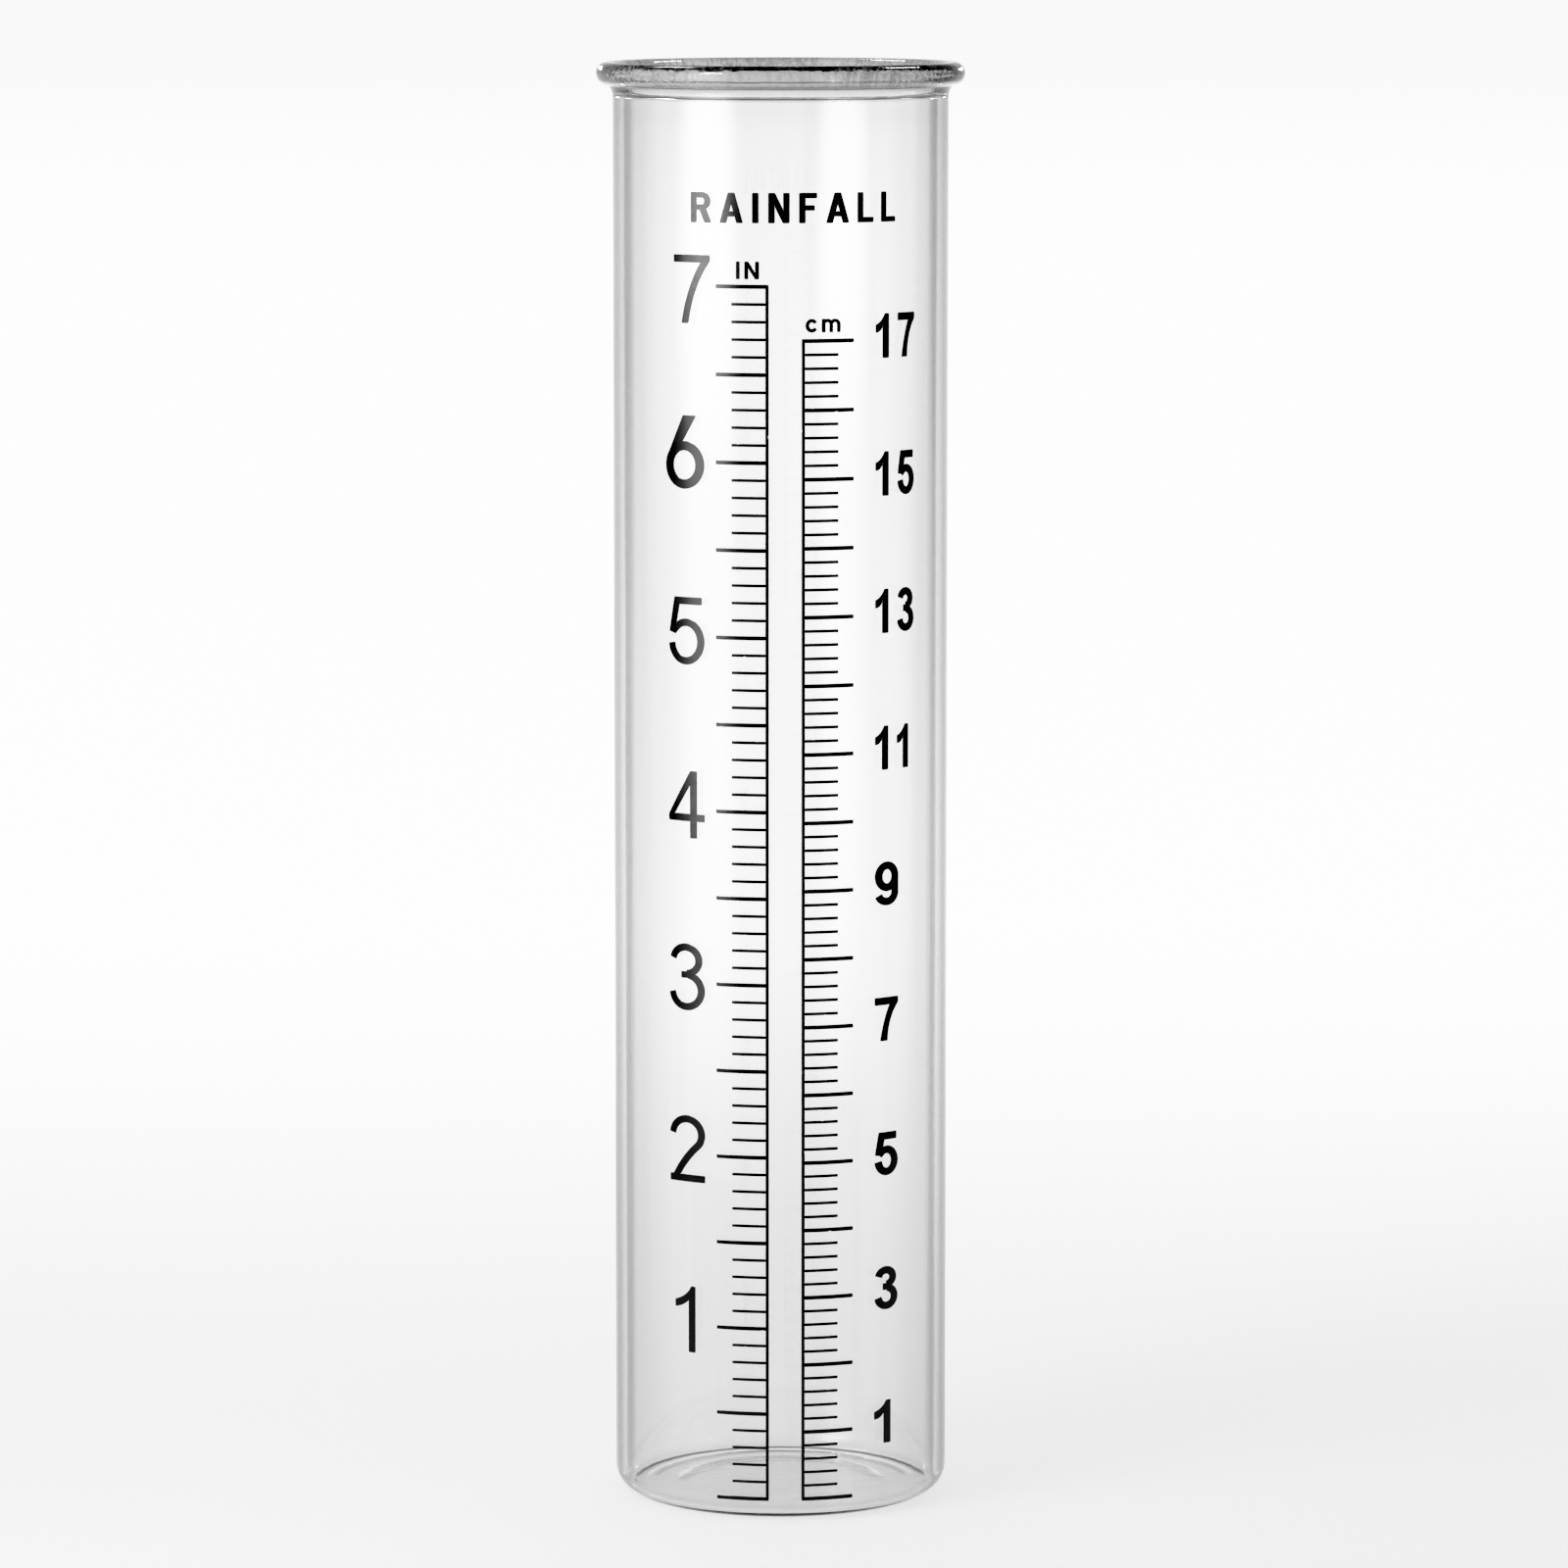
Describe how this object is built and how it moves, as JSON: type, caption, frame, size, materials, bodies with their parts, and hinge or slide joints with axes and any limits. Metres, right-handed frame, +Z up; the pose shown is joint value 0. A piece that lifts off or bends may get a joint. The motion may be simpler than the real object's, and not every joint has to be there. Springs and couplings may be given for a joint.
{
  "type": "rain gauge tube",
  "caption": "Clear glass rain gauge tube with a rolled rim and a flat base, its inch and centimetre depth scales and figures printed on the front in black enamel.",
  "frame": {"origin": "the middle of the flat base, on the surface that the tube stands on", "axes": "+Z up along the tube's axis, -Y out through the middle of the printed front, +X to the right of someone facing the print"},
  "size_m": [0.0542, 0.0542, 0.2128],
  "materials": {
    "glass": "clear, polished, with a fire-finished rim",
    "enamel": "glossy fired black enamel"
  },
  "bodies": {
    "root": {"glass_tube": "glass", "cm_figure_1": "enamel", "cm_figure_11_tens": "enamel", "cm_figure_11_units": "enamel", "cm_figure_13_tens": "enamel", "cm_figure_13_units": "enamel", "cm_figure_15_tens": "enamel", "cm_figure_15_units": "enamel", "cm_figure_17_tens": "enamel", "cm_figure_17_units": "enamel", "cm_figure_3": "enamel", "cm_figure_5": "enamel", "cm_figure_7": "enamel", "cm_figure_9": "enamel", "cm_scale_lines": "enamel", "cm_unit_c": "enamel", "cm_unit_m": "enamel", "inch_figure_1": "enamel", "inch_figure_2": "enamel", "inch_figure_3": "enamel", "inch_figure_4": "enamel", "inch_figure_5": "enamel", "inch_figure_6": "enamel", "inch_figure_7": "enamel", "inch_scale_lines": "enamel", "inch_unit_I": "enamel", "inch_unit_N": "enamel", "title_letter_1_R": "enamel", "title_letter_2_A": "enamel", "title_letter_3_I": "enamel", "title_letter_4_N": "enamel", "title_letter_5_F": "enamel", "title_letter_6_A": "enamel", "title_letter_7_L": "enamel", "title_letter_8_L": "enamel"}
  },
  "joints": []
}
